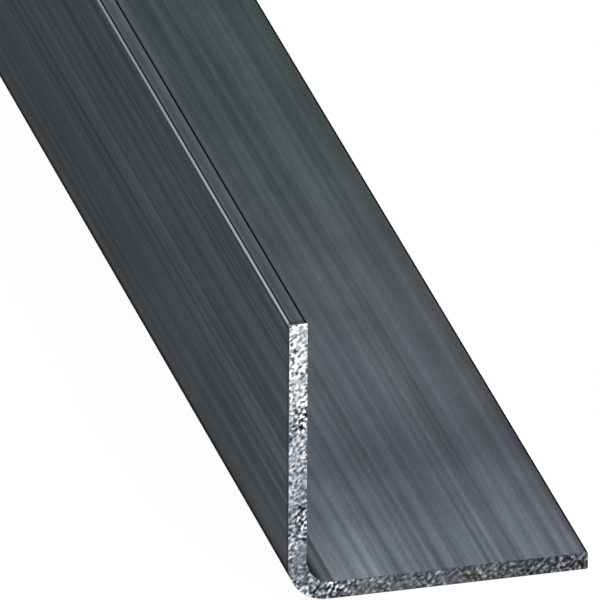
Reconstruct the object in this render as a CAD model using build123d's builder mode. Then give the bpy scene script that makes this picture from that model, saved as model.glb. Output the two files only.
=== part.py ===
"""Equal-leg steel angle section, cold-rolled from strip and sawn square to a stock length.

The section is an L: a flat leg and an upright leg of one wall thickness, joined by a rolled bend.
The bar lies on its flat leg. X runs along the flat leg from heel to toe, Y along the bar and Z up
the upright leg. The origin is the middle of the bar's length and width, on the surface it lies on.
"""

from build123d import *

import os

# Section, in millimetres
flat_leg = 25.0  # over the heel, along X
upright_leg = 25.0  # over the heel, along Z
wall = 1.5
inner_bend_radius = 2.2
heel_fill = 0.4  # how much the rolls sharpen the heel, against a bend of constant wall
outer_edge_radius = 0.2  # arrises that slitting the strip rolled over, outside at both toes
inner_edge_radius = 0.1  # sharper arrises on the slit edges' other side

# Bar, in millimetres
length = 1000.0

# What follows from them
heel_radius = inner_bend_radius + wall - heel_fill
heel_x = -flat_leg / 2
toe_x = flat_leg / 2
inner_x = heel_x + wall

with BuildPart() as angle_section:
    with BuildSketch(Plane.XZ):
        with BuildLine():
            # Each corner of the L with its own radius: the heel, the flat leg's toe, the inside of
            # the bend and the upright's toe.
            FilletPolyline(
                (heel_x, 0),
                (toe_x, 0),
                (toe_x, wall),
                (inner_x, wall),
                (inner_x, upright_leg),
                (heel_x, upright_leg),
                radius=(
                    heel_radius,
                    outer_edge_radius,
                    inner_edge_radius,
                    inner_bend_radius,
                    inner_edge_radius,
                    outer_edge_radius,
                ),
                close=True,
            )
        make_face()
    extrude(amount=length / 2, both=True)

angle_section.part.label = "angle_section"

os.makedirs("parts", exist_ok=True)
export_step(angle_section.part, "parts/angle_section.step")
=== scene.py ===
"""Looks of the steel angle section: its streaked rolled skin and its granular sawn ends.

The bar lies on its flat leg. X runs from heel to toe, Y along the bar and Z up the upright leg.
"""
import math

import bmesh
import bpy
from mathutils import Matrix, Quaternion, Vector, noise


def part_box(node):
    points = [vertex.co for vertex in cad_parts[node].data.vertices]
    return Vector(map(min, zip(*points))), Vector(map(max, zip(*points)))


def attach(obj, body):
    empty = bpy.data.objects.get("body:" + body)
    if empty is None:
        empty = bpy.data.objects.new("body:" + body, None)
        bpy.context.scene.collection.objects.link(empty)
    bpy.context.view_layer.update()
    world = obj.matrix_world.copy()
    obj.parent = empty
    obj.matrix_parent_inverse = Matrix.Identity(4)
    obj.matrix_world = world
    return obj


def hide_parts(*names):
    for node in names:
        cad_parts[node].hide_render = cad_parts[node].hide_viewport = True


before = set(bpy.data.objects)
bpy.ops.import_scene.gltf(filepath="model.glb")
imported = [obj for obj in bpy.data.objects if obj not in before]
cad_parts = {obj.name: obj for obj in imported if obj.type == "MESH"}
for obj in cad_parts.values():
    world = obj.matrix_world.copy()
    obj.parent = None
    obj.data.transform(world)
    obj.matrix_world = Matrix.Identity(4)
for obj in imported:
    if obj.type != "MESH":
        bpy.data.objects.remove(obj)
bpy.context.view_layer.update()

MM = 0.001
QUARTER = math.pi / 2  # a quarter turn

# The section, as the solid has it
WALL = 1.5 * MM
HEEL_RADIUS = 3.3 * MM
INNER_RADIUS = 2.2 * MM
OUTER_ARRIS, INNER_ARRIS = 0.2 * MM, 0.1 * MM  # radii of the toes' arrises
HEEL_X, FRONT_Y, FLOOR_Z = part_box("angle_section")[0]
TOE_X, BACK_Y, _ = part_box("angle_section")[1]
INNER_X = HEEL_X + WALL
LEG = TOE_X - HEEL_X

# The sawn ends' relief
CELL = 0.065 * MM  # size of a mesh cell on a sawn end
GRAIN = 0.32 * MM, 0.25 * MM  # length and width of a torn grain, which leans to the upright
GRAIN_SWING = 0.75  # how far the noise takes the grain from its mean
FINE_GRAIN, FINE_SHARE = 2.1, 0.5  # how much finer the second layer of grain is, and its share
FINE_SHIFT = Vector((7.3, 0, 2.1))  # takes that layer from another part of the noise
GRAIN_DEPTH = 0.07 * MM
RIM_SHARE = 0.35  # how much of that depth reaches the rim

# The bar's length is cut into faces at these distances from either end, so that none is a thin sliver.
RINGS = 4 * MM, 15 * MM, 40 * MM, 90 * MM, 180 * MM, 320 * MM

# The bake map: the front end's L along two of its sides, the back end's inside that, then the skin
END_STARTS, END_SHARE = (0.004, 0.074), 0.9125
SKIN_START, SKIN_SHARE = 0.14, 0.856
TOE_ROOM = 3  # how much more room than its length a toe takes

# Camera
AZIMUTH, ELEVATION, ROLL = math.radians(-14.887), math.radians(26.458), math.radians(0.294)
AIM = Vector((1.603, -450.141, 1.5)) * MM
DISTANCE = 2326 * MM
LENS = 1700
FAR_CLIP = 100  # metres

# Light
SKY = 0.55  # what the white surroundings give to a surface
KEY = 0.6  # what the key lamp gives to a surface that faces it
KEY_FROM = Vector((0.35, -0.65, 0.67))
KEY_SOFTNESS = math.radians(40)

# Floor
FLOOR_REACH = 30  # metres each way
FLOOR_GAP = 0.1 * MM  # how far below the bar it lies
FLOOR_LIT = (0.8, 0.8, 0.8, 1)  # its colour for the light that it throws back
FLOOR_SEEN = (0.06, 0.06, 0.06, 1)  # its colour when looked at, which carries the shadow
FLOOR_GLOW = 0.966  # its own light when looked at, so that it is white where no shadow falls


# The mesh -------------------------------------------------------------------------------------

def spread(start, end, size):
    """Evenly spaced numbers from start to just before end, about size apart."""
    count = max(1, round(abs(end - start) / size))
    return [start + (end - start) * i / count for i in range(count)]


def flat_toe(size):
    """Outer and inner points (x, z) of the flat leg's toe, from its edge to where its arrises end."""
    for turn in spread(0, QUARTER, size / OUTER_ARRIS):
        back, rise = 1 - math.cos(turn), 1 - math.sin(turn)
        outer = TOE_X - OUTER_ARRIS * back, FLOOR_Z + OUTER_ARRIS * rise
        inner = TOE_X - INNER_ARRIS * back, FLOOR_Z + WALL - INNER_ARRIS * rise
        yield outer, inner


def flat_leg(size):
    """Outer and inner points of the flat leg's straight stretch, from its toe to the bend."""
    sides = (
        (TOE_X - OUTER_ARRIS, HEEL_X + HEEL_RADIUS, FLOOR_Z),
        (TOE_X - INNER_ARRIS, INNER_X + INNER_RADIUS, FLOOR_Z + WALL))
    for share in spread(0, 1, size / (LEG - HEEL_RADIUS)):
        yield tuple((start + share * (end - start), z) for start, end, z in sides)


def bend(size):
    """Outer and inner points of the rolled bend, from the flat leg to the upright one."""
    corners = (HEEL_X, FLOOR_Z, HEEL_RADIUS), (INNER_X, FLOOR_Z + WALL, INNER_RADIUS)
    for turn in spread(0, QUARTER, size / INNER_RADIUS):
        yield tuple((x + r * (1 - math.sin(turn)), z + r * (1 - math.cos(turn))) for x, z, r in corners)


def stations(size):
    """Outer and inner points right along the section, from the flat leg's toe to the upright's."""
    flat = [*flat_toe(size), *flat_leg(size)]
    # The legs are equal, so the upright is the flat leg mirrored in the bisector of the bend.
    upright = [[(HEEL_X + z - FLOOR_Z, FLOOR_Z + x - HEEL_X) for x, z in pair] for pair in flat[::-1]]
    return [*flat, *bend(size), *upright]


def torn_grain(x, z, end):
    """How far the torn grain stands out at a point of a sawn end, from 0 in a pit to 1 on a peak."""
    slant = Vector((x + z, end, x - z)) / math.sqrt(2)
    place = Vector((slant.x / GRAIN[0], slant.y / GRAIN[1], slant.z / GRAIN[1]))
    coarse = noise.noise(place)
    fine = noise.noise(place * FINE_GRAIN + FINE_SHIFT)
    return min(1, max(0, 0.5 + GRAIN_SWING * (coarse + FINE_SHARE * fine)))


def sawn_end(mesh, pairs, y, inwards, map_start):
    """One sawn end as a grid of torn grain, with its rim on the section's outline."""
    across = round(WALL / CELL)
    grain = mesh.verts.layers.float["grain"]
    uv = mesh.loops.layers.uv["OFBake"]
    grid = []
    for station, (outer, inner) in enumerate(pairs):
        at_toe = station in (0, len(pairs) - 1)
        row = []
        for step in range(across + 1):
            share = step / across
            x, z = (a + share * (b - a) for a, b in zip(outer, inner))
            rim = at_toe or step in (0, across)
            peak = torn_grain(x, z, y)
            depth = GRAIN_DEPTH * (1 - peak) * (RIM_SHARE if rim else 1)
            vert = mesh.verts.new((x, y + inwards * depth, z))
            vert[grain] = peak
            row.append(vert)
        grid.append(row)
    for row, after in zip(grid, grid[1:]):
        for corners in zip(row, row[1:], after[1:], after):
            face = mesh.faces.new(corners)
            face.material_index = 1
            for loop in face.loops:
                place = loop.vert.co.x - HEEL_X, loop.vert.co.z - FLOOR_Z
                loop[uv].uv = [map_start + END_SHARE * side / LEG for side in place]
    return grid


def outline(grid):
    """The grid's rim as one loop: along the outer side, over the top and back inside."""
    outer = [row[0] for row in grid]
    inner = [row[-1] for row in grid]
    return outer + grid[-1][1:-1] + inner[::-1] + grid[0][-2:0:-1]


def unrolled(rim):
    """Places from 0 to 1 round a rim, back to its first corner, with more room at the toes."""
    places = [0]
    for start, end in zip(rim, rim[1:] + rim[:1]):
        x, z = start.co.x - HEEL_X, start.co.z - FLOOR_Z
        room = TOE_ROOM if max(x, z) > LEG - OUTER_ARRIS else 1
        places.append(places[-1] + room * math.hypot(end.co.x - start.co.x, end.co.z - start.co.z))
    return [place / places[-1] for place in places]


def skin(mesh, front, back):
    """The long faces from one rim to the other."""
    uv = mesh.loops.layers.uv["OFBake"]
    length = BACK_Y - FRONT_Y
    rises = unrolled(front)
    rims = [front]
    for reach in (*RINGS, *(length - ring for ring in RINGS[::-1])):
        rims.append([mesh.verts.new((vert.co.x, FRONT_Y + reach, vert.co.z)) for vert in front])
    rims.append(back)
    for near, far in zip(rims, rims[1:]):
        for corner, ends in enumerate(zip(near, near[1:] + near[:1], far[1:] + far[:1], far)):
            face = mesh.faces.new(ends)
            for loop, rise in zip(face.loops, (0, 1, 1, 0)):
                along = (loop.vert.co.y - FRONT_Y) / length
                loop[uv].uv = [SKIN_START + SKIN_SHARE * side for side in (along, rises[corner + rise])]


def build_mesh():
    """The whole bar as one closed mesh: two grids for the sawn ends and long faces for the skin."""
    mesh = bmesh.new()
    mesh.verts.layers.float.new("grain")
    mesh.loops.layers.uv.new("OFBake")
    pairs = stations(CELL)
    front = outline(sawn_end(mesh, pairs, FRONT_Y, 1, END_STARTS[0]))
    back = outline(sawn_end(mesh, pairs, BACK_Y, -1, END_STARTS[1]))
    skin(mesh, front, back)
    bmesh.ops.recalc_face_normals(mesh, faces=mesh.faces)
    for face in mesh.faces:
        face.smooth = True
    for rim in (front, back):
        for ends in zip(rim, rim[1:] + rim[:1]):
            mesh.edges.get(ends).smooth = False
    return mesh


def make_bar():
    mesh = build_mesh()
    data = bpy.data.meshes.new("steel_angle")
    mesh.to_mesh(data)
    mesh.free()
    piece = bpy.data.objects.new("steel_angle", data)
    bpy.context.scene.collection.objects.link(piece)
    return piece


# Materials ------------------------------------------------------------------------------------
# Distances are in millimetres, and angles in radians. A level is as displayed, from 0 to 1.

WALL_MM, LEG_MM = WALL / MM, LEG / MM
NOISE_GAIN = 8.0  # brings Blender's noise, less its mean, to about unit spread
GRAIN_GAIN = 4.0  # the same for the mesh's torn grain
DISPLAY_OFFSET, DISPLAY_POWER = 0.055, 2.4  # turn a displayed level into light

# Surfaces
SKIN_METAL, SKIN_ROUGHNESS = 0.6, 0.5
SKIN_GRAZING = (0.35, 0.35, 0.35, 1)  # what the skin's metal throws back at a grazing angle
STREAK_HEIGHT, STREAK_BUMP = 0.01 * MM, 0.3  # a streak's relief, and how strongly it shades
STREAK_POLISH = 0.03  # how much smoother a light streak is
CUT_METAL, CUT_ROUGHNESS, CUT_GLOSS = 0.3, 0.4, 0.2
BURR_LEVEL = 0.6  # the thin bright edge that the saw leaves
ARRIS_SHADE_LEVEL = 0.08  # a toe's inner arris, painted dark as shade

# Tints of the steel: the red, green and blue of a grey
INNER_TINTS = (0.899, 1, 1.155, 1), (0.921, 1, 1.11, 1)  # at a cut, and 50 mm from it
OUTER_TINTS = (0.904, 1, 1.125, 1), (0.893, 1, 1.093, 1)  # at a cut, and 25 mm from it
GREENISH_TINT = (0.78, 1, 1.033, 1)  # the greener tint farther along the inside: a painted reflection near the ends, a patchy tone further on
FILLET_TINT = (0.93, 1, 1.09, 1)
SLIT_TINT = (0.92, 1, 1.09, 1)
# the tint of the painted highlight on the outer arris
ARRIS_HIGHLIGHT_TINT = (0.94, 1, 1.045, 1)
CUT_TINTS = (0.945, 1, 1.04, 1), (0.917, 1, 1.107, 1)  # at the upright's top, and below it

# Where the saw tore the cut: place along the L from the upright's top, reach each way, and height
DARK_PATCHES = (9.2, 2.7, -0.185), (17.8, 2.1, -0.14)
ROUGH_PATCHES = (9.3, 2.8, 0.18), (18.7, 3, 0.23), (26.4, 5.5, 0.195), (47, 3, 0.07)


class Nodes:
    """Builds one node tree. Each method adds a node and returns its output socket."""

    def __init__(self, owner):
        owner.use_nodes = True
        self.tree = owner.node_tree
        self.tree.nodes.clear()

    def add(self, kind, values=(), output=0, **settings):
        """values are (input, socket or constant) pairs, and settings the node's own properties."""
        node = self.tree.nodes.new("ShaderNode" + kind)
        for name, setting in settings.items():
            setattr(node, name, setting)
        for name, value in values:
            if isinstance(value, bpy.types.NodeSocket):
                self.tree.links.new(value, node.inputs[name])
            else:
                node.inputs[name].default_value = value
        return node.outputs[output]

    def output(self, kind, shader):
        """Ends the tree in its Material or World output."""
        self.tree.links.new(shader, self.tree.nodes.new(f"ShaderNodeOutput{kind}").inputs["Surface"])

    def math(self, operation, *values):
        return self.add("Math", enumerate(values), operation=operation)

    def total(self, first, *others):
        for other in others:
            first = self.math("ADD", first, other)
        return first

    def product(self, first, *others):
        for other in others:
            first = self.math("MULTIPLY", first, other)
        return first

    def rest(self, share):
        """What a share leaves of 1."""
        return self.math("SUBTRACT", 1.0, share)

    def fade(self, value, start, end, low=0.0, high=1.0):
        """low up to start, high from end on, and a smooth step between them."""
        values = (
            ("Value", value), ("From Min", start), ("From Max", end), ("To Min", low), ("To Max", high))
        return self.add("MapRange", values, interpolation_type="SMOOTHSTEP")

    def patch(self, value, place, reach, height):
        """height at a place, and a smooth fall to 0 within reach of it."""
        away = self.math("ABSOLUTE", self.math("SUBTRACT", value, place))
        return self.fade(away, 0, reach, height, 0)

    def blend(self, share, low, high):
        return self.add("Mix", ((0, share), (2, low), (3, high)), data_type="FLOAT")

    def blend_colour(self, share, low, high):
        return self.add("Mix", ((0, share), (6, low), (7, high)), 2, data_type="RGBA")

    def stops(self, value, *stops):
        """A smooth curve through (place, level) stops, which stays flat beyond them."""
        reach = stops[-1][0]
        socket = self.add("ValToRGB", (("Fac", self.math("DIVIDE", value, reach)),))
        ramp = socket.node.color_ramp
        ramp.interpolation = "EASE"
        for place, level in stops[2:]:
            ramp.elements.new(place / reach)
        for element, (place, level) in zip(ramp.elements, stops):
            element.position = place / reach
            element.color = (level, level, level, 1)
        return socket

    def as_colour(self, tint, level):
        """The linear colour of a tinted grey of this level."""
        lifted = self.math("DIVIDE", self.total(level, DISPLAY_OFFSET), 1 + DISPLAY_OFFSET)
        light = self.math("POWER", self.math("MAXIMUM", lifted, 0.0), DISPLAY_POWER)
        return self.add("VectorMath", ((0, tint), (3, light)), operation="SCALE")


class BarNodes(Nodes):
    """A material's nodes that know where on the bar they are."""

    def __init__(self, material):
        super().__init__(material)
        here = self.add("TexCoord", output=3)  # the object's own coordinates
        self.place = self.add("VectorMath", ((0, here), (3, 1 / MM)), operation="SCALE")
        x, y, z = self.add("SeparateXYZ", ((0, self.place),)).node.outputs
        middle, half = (FRONT_Y + BACK_Y) / 2 / MM, (BACK_Y - FRONT_Y) / 2 / MM
        off_middle = self.math("ABSOLUTE", self.math("SUBTRACT", y, middle))
        self.from_end = self.math("SUBTRACT", half, off_middle)
        self.across = self.math("SUBTRACT", x, HEEL_X / MM)  # from the upright's outer face
        self.up = self.math("SUBTRACT", z, FLOOR_Z / MM)  # from the underside
        self.along = self.math("MAXIMUM", self.across, self.up)  # from the heel, along either leg
        self.depth = self.math("MINIMUM", self.across, self.up)  # in from either leg's outer face

    def turn(self, centre, first, second):
        """The angle round a bend: 0 where first is at its centre, a quarter where second is."""
        rise, reach = self.math("SUBTRACT", centre, first), self.math("SUBTRACT", centre, second)
        return self.math("ARCTAN2", rise, reach)

    def noise(self, size, detail=0.0, shift=(0, 0, 0)):
        """Soft noise of about unit spread around 0, with cells of size (x, y, z)."""
        sized = self.add("VectorMath", ((0, self.place), (1, size)), operation="DIVIDE")
        moved = self.add("VectorMath", ((0, sized), (1, shift)), operation="ADD")
        values = (("Vector", moved), ("Scale", 1.0), ("Detail", detail), ("Roughness", 0.5))
        wave = self.add("TexNoise", values, noise_dimensions="3D", normalize=True)
        return self.product(self.math("SUBTRACT", wave, 0.5), NOISE_GAIN)


def streaks(n, inside):
    """The lines that rolling leaves along the bar, of about unit spread around 0.

    They are coarser outside, where the wider ones are fainter near a cut.
    """
    outer = n.noise((0.49, 75, 0.49), shift=(1.7, 6.2, 0.9))
    inner = n.noise((0.42, 60, 0.42), detail=0.5)
    wider = n.noise((0.78, 85, 0.78), shift=(8.1, 3.4, 0.6))
    broad = n.noise((1.3, 110, 1.3), shift=(3.3, 0.4, 8.1))
    return n.total(
        n.product(n.blend(inside, outer, inner), n.blend(inside, 0.76, 0.9)),
        n.product(wider, n.blend(inside, n.fade(n.from_end, 0, 30, 0.3, 0.5), 0.25)),
        n.product(broad, n.blend(inside, 0.05, 0.25)))


def streak_contrast(n, inside, in_fillet):
    """How much of the level a streak takes or gives: less in the fillet and near the heel."""
    inner = n.stops(n.from_end, (0, 0.079), (14, 0.054), (54, 0.032), (84, 0.051), (120, 0.066))
    inner = n.product(inner, n.blend(in_fillet, 1.0, 0.2), n.fade(n.across, 7, 17, 0.84, 1.15))
    outer = n.stops(n.from_end, (0, 0.083), (16, 0.072), (40, 0.063), (120, 0.054))
    outer = n.product(outer, n.fade(n.along, 11, 14, 0.75, 1.05))
    return n.blend(inside, outer, inner)


def mottling(n):
    """Scale and stain on the skin: a pinpoint speckle on soft clouds, as shares of its level."""
    speckle = n.noise((0.16, 0.4, 0.16))
    blot = n.noise((1.2, 3, 1.2), shift=(5.1, 2.7, 0.6))
    cloud = n.noise((5, 11, 5), shift=(0.9, 4.4, 2.3))
    return n.total(n.product(speckle, 0.014), n.product(blot, 0.008), n.product(cloud, 0.016))


def inner_face(n):
    """Level of the faces inside the L, lighter towards a cut as painted light, with a painted
    reflection of the upright on the flat leg beside it, a painted highlight beside the fillet and
    painted shade towards the toe.
    """
    # Painted light: mostly lighter towards a cut
    level = n.stops(
        n.from_end, (0, 0.46), (6, 0.443), (14, 0.411), (20, 0.37), (32, 0.403), (52, 0.386),
        (62, 0.359), (72, 0.362), (84, 0.342))
    # Painted reflection of the upright on the flat leg, near a cut and a little farther along
    near = n.product(n.fade(n.across, 6, 10, 0.155, 0), n.fade(n.from_end, 0, 25, 1, 0))
    farther = n.product(
        n.fade(n.across, 8, 16, 0.06, 0), n.fade(n.from_end, 10, 16), n.fade(n.from_end, 32, 60, 1, 0))
    # A painted highlight beside the fillet
    painted_highlight_by_fillet = n.fade(n.across, 3.9, 4.3, 0.14, 0)
    # Painted shade towards the flat leg's toe
    toe_shade = n.product(
        n.fade(n.along, LEG_MM - 1.5, LEG_MM - 0.6), n.fade(n.from_end, 20, 100, 0.17, 0))
    return n.product(level, n.total(near, farther, painted_highlight_by_fillet, 1.0), n.rest(toe_shade))


def fillet(n, level):
    """The level with the rolled fillet's painted light, a painted highlight near the flat leg and
    painted shade towards the upright, and the fillet's share.
    """
    turn = n.turn(WALL_MM + INNER_RADIUS / MM, n.across, n.up)
    # Painted highlight near the flat leg, painted shade deeper in the corner
    painted_light_level = n.stops(
        turn, (0, 0.36), (0.06, 0.37), (0.19, 0.45), (0.28, 0.418), (0.45, 0.325), (0.62, 0.23),
        (0.8, 0.19), (1.1, 0.28), (QUARTER, 0.37))
    share = n.product(n.fade(turn, -0.075, -0.06), n.fade(turn, 1.4, 1.7, 1, 0))
    return n.blend(share, level, painted_light_level), share


def outer_face(n):
    """Level of the outer faces, with a painted dark line along the heel and painted shade on the round
    below it.
    """
    level = n.stops(
        n.from_end, (0, 0.366), (9, 0.364), (16, 0.353), (40, 0.348), (60, 0.33), (120, 0.32))
    # Painted shade round the heel: a dark line near the upright's foot, and a duller round below it
    heel = n.stops(
        n.turn(HEEL_RADIUS / MM, n.up, n.across),
        (0, 1.0), (0.1, 0.86), (0.147, 0.76), (0.197, 0.05), (0.5, 0.05), (0.68, 0.42), (1.05, 0.5),
        (1.35, 0.9), (QUARTER, 1.0))
    return n.product(level, n.fade(n.along, 20.5, 24, 1, 0.975), heel)


def toe_shares(n):
    """Shares of a toe's slit edge, of the painted highlight on its outer arris and of the painted shade
    on its inner one.

    Their limits are distances from the toe's edge, and then from the outer or the inner face.
    """
    slit = n.fade(n.along, LEG_MM - 0.11, LEG_MM - 0.03)
    arris_highlight = n.product(n.fade(n.along, LEG_MM - 0.262, LEG_MM - 0.232), n.fade(n.depth, 0.27, 0.33, 1, 0))
    dark = n.product(
        n.fade(n.along, LEG_MM - 0.21, LEG_MM - 0.18), n.fade(n.depth, WALL_MM - 0.23, WALL_MM - 0.2))
    return slit, arris_highlight, dark


def toe(n, level, stain, shares):
    """The level with that of the toes, whose slit edges show the stain more, and with the painted
    highlight and painted shade on their arrises.
    """
    slit, arris_highlight, dark = shares
    slit_level = n.stops(
        n.depth, (0, 0.375), (0.36, 0.375), (0.5, 0.336), (0.65, 0.332), (1.1, 0.385), (WALL_MM, 0.405))
    level = n.blend(slit, level, n.product(slit_level, n.total(n.product(stain, 1.6), 1.0)))
    # Painted highlight on the outer arris, with a painted dark line beside it, a little brighter near a
    # cut
    arris_highlight_level = n.stops(n.depth, (0, 0.74), (0.075, 0.76), (0.13, 0.16), (0.215, 0.16), (0.25, 0.37))
    level = n.blend(arris_highlight, level, n.product(arris_highlight_level, n.fade(n.from_end, 8, 60, 1.04, 0.9)))
    # The inner arris is painted dark as shade
    return n.blend(dark, level, ARRIS_SHADE_LEVEL)


def cut_edge(n, level, outside):
    """The level with the saw's burr on the outer faces' very edge, and a painted shadow line beside it.
    """
    # A painted shadow line beside the burr
    line = n.product(outside, n.fade(n.from_end, 0.5, 0.8, 0.2, 0))
    burr = n.product(outside, n.fade(n.from_end, 0.06, 0.12, 1, 0))
    return n.blend(burr, n.product(level, n.rest(line)), BURR_LEVEL)


def skin_tint(n, inside, slit, arris_highlight):
    """The steel's tint, which turns greener along the inside, as a painted reflection near the ends and
    a patchy tone further on, and drifts a little everywhere.
    """
    outer = n.blend_colour(n.fade(n.from_end, 5, 25), *OUTER_TINTS)
    inner = n.blend_colour(n.fade(n.from_end, 0, 50), *INNER_TINTS)
    patchy = n.total(n.product(n.noise((9, 90, 9), shift=(2.9, 8.4, 3.6)), 0.25), 0.4)
    # Painted reflection: greener from 50 to 84 mm from a cut, patchy tone beyond 120 mm
    greenish_share = n.blend(n.fade(n.from_end, 120, 200), n.fade(n.from_end, 50, 84), patchy)
    inner = n.blend_colour(greenish_share, inner, GREENISH_TINT)
    inner = n.blend_colour(n.fade(n.along, 4, 4.6), FILLET_TINT, inner)
    tint = n.blend_colour(slit, n.blend_colour(inside, outer, inner), SLIT_TINT)
    wave = n.noise((3.5, 60, 3.5), shift=(4.4, 1.3, 7.7))
    red, blue = n.total(n.product(wave, 0.005), 1.0), n.total(n.product(wave, -0.006), 1.0)
    drift = n.add("CombineXYZ", (("X", red), ("Y", 1.0), ("Z", blue)))
    tint = n.add("VectorMath", ((0, tint), (1, drift)), operation="MULTIPLY")
    # The painted highlight on the outer arris takes its own tint
    return n.blend_colour(arris_highlight, tint, ARRIS_HIGHLIGHT_TINT)


def rolled_skin():
    """The rolled and slit faces: dull steel, streaked along the bar, with painted light and shade."""
    material = bpy.data.materials.new("rolled_skin")
    n = BarNodes(material)
    inside = n.fade(n.depth, WALL_MM - 0.02, WALL_MM - 0.005)  # 1 inside the L, 0 on the outer faces
    streak, stain = streaks(n, inside), mottling(n)
    inner, in_fillet = fillet(n, inner_face(n))
    level = n.blend(inside, outer_face(n), inner)
    level = n.product(level, n.total(
        n.product(streak, streak_contrast(n, inside, in_fillet)),
        n.product(stain, n.blend(inside, 0.6, 1.0)), 1.0))
    slit, arris_highlight, dark = shares = toe_shares(n)
    level = cut_edge(n, toe(n, level, stain, shares), n.rest(inside))
    bump = n.add("Bump", (("Strength", STREAK_BUMP), ("Distance", STREAK_HEIGHT), ("Height", streak)))
    shader = n.add("BsdfPrincipled", (
        ("Base Color", n.as_colour(skin_tint(n, inside, slit, arris_highlight), level)),
        # No metal on the painted dark arris, so that it stays dark
        ("Metallic", n.product(n.rest(dark), SKIN_METAL)),
        ("Roughness", n.total(n.product(streak, -STREAK_POLISH), SKIN_ROUGHNESS)),
        ("Specular Tint", SKIN_GRAZING), ("Specular IOR Level", 0.0), ("Normal", bump)))
    n.output("Material", shader)
    return material


def cut_level(n, run):
    """Level of a sawn end: lighter towards the upright's top as painted light, less where the saw tore
    it, and painted shade along the flat leg's sides.
    """
    # Painted light: brightest at the upright's top, darker along the L
    level = n.stops(
        run, (0, 0.842), (5.5, 0.795), (11.7, 0.667), (14.5, 0.615), (20, 0.607), (22, 0.485),
        (26, 0.487), (30, 0.412), (38, 0.355), (2 * LEG_MM, 0.297))
    level = n.total(level, *(n.patch(run, *patch) for patch in DARK_PATCHES))
    # Painted shade along the flat leg's sides of the cut
    sides = n.total(n.fade(n.depth, 0.1, 0.2, 1, 0), n.fade(n.depth, WALL_MM - 0.2, WALL_MM - 0.1))
    return n.product(level, n.rest(n.product(sides, n.fade(run, 26, 29, 0, 0.12))))


def grain_contrast(n, run):
    """How much a grain adds to the level or takes from it: most where the saw tore the cut."""
    contrast = n.fade(run, 4, 24, 0.25, 0.12)
    contrast = n.total(contrast, *(n.patch(run, *patch) for patch in ROUGH_PATCHES))
    uneven = n.total(n.product(n.noise((1.2, 10, 1.2), shift=(0.7, 0, 0.2)), 0.25), 1.0)
    return n.product(contrast, n.math("MAXIMUM", uneven, 0.7))


def grain_wave(n, run):
    """The mesh's torn grain, of about unit spread around 0, with sharper peaks on the flat leg."""
    grain = n.add("Attribute", attribute_name="grain", output=2)
    grain = n.product(n.math("SUBTRACT", grain, 0.5), GRAIN_GAIN)
    sharper = n.product(n.math("SUBTRACT", n.product(grain, grain), 1.0), n.fade(run, 24, 32, 0, 0.13))
    return n.total(grain, sharper)


def sawn_steel():
    """The sawn ends: torn bright grain, with painted light that makes them brightest at the upright's
    top.
    """
    material = bpy.data.materials.new("sawn_end")
    n = BarNodes(material)
    # Along the L, from the upright's toe to the flat leg's
    run = n.total(n.math("SUBTRACT", n.across, n.up), LEG_MM)
    level = n.total(cut_level(n, run), n.product(grain_wave(n, run), grain_contrast(n, run)))
    tint = n.blend_colour(n.fade(run, 2, 14), *CUT_TINTS)
    shader = n.add("BsdfPrincipled", (
        ("Base Color", n.as_colour(tint, level)), ("Metallic", CUT_METAL),
        ("Roughness", CUT_ROUGHNESS), ("Specular IOR Level", CUT_GLOSS)))
    n.output("Material", shader)
    return material


# Studio ---------------------------------------------------------------------------------------

def from_angles(azimuth, elevation):
    """The direction towards a viewer at these angles, azimuth 0 being in front of the sawn end."""
    reach = math.cos(elevation)
    return Vector((math.sin(azimuth) * reach, -math.cos(azimuth) * reach, math.sin(elevation)))


def make_camera():
    data = bpy.data.cameras.new("camera")
    data.lens = LENS
    data.clip_end = FAR_CLIP
    camera = bpy.data.objects.new("camera", data)
    back = from_angles(AZIMUTH, ELEVATION)
    camera.location = AIM + back * DISTANCE
    camera.rotation_mode = "QUATERNION"
    camera.rotation_quaternion = (-back).to_track_quat("-Z", "Y") @ Quaternion((0, 0, 1), ROLL)
    bpy.context.scene.collection.objects.link(camera)
    bpy.context.scene.camera = camera


def looked_at(n):
    """1 for the camera's rays, also by mirror or glass, and 0 for those that light a surface."""
    path = n.add("LightPath").node.outputs
    seen = n.math("MAXIMUM", path["Is Camera Ray"], path["Is Glossy Ray"])
    return n.math("MAXIMUM", seen, path["Is Transmission Ray"])


def make_world():
    world = bpy.data.worlds.new("studio")
    bpy.context.scene.world = world
    n = Nodes(world)
    strength = n.blend(looked_at(n), SKY, 1.0)
    shader = n.add("Background", (("Color", (1, 1, 1, 1)), ("Strength", strength)))
    n.output("World", shader)


def make_key():
    data = bpy.data.lights.new("key", "SUN")
    data.energy = KEY * math.pi
    data.angle = KEY_SOFTNESS
    lamp = bpy.data.objects.new("key", data)
    lamp.rotation_mode = "QUATERNION"
    lamp.rotation_quaternion = KEY_FROM.to_track_quat("Z", "Y")
    bpy.context.scene.collection.objects.link(lamp)


def make_floor():
    data = bpy.data.meshes.new("floor")
    sides = (-1, -1), (1, -1), (1, 1), (-1, 1)
    corners = [(x * FLOOR_REACH, y * FLOOR_REACH, FLOOR_Z - FLOOR_GAP) for x, y in sides]
    data.from_pydata(corners, [], [(0, 1, 2, 3)])
    floor = bpy.data.objects.new("floor", data)
    bpy.context.scene.collection.objects.link(floor)
    material = bpy.data.materials.new("floor")
    n = Nodes(material)
    seen = looked_at(n)
    glow = n.add("Emission", (("Color", (1, 1, 1, 1)), ("Strength", n.product(seen, FLOOR_GLOW))))
    matt = n.add("BsdfDiffuse", (("Color", n.blend_colour(seen, FLOOR_LIT, FLOOR_SEEN)),))
    shader = n.add("AddShader", ((0, glow), (1, matt)))
    n.output("Material", shader)
    data.materials.append(material)


bar = make_bar()
bar.data.materials.append(rolled_skin())
bar.data.materials.append(sawn_steel())
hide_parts("angle_section")
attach(bar, "root")

make_floor()
make_world()
make_key()
make_camera()
bpy.context.scene.view_settings.view_transform = "Standard"
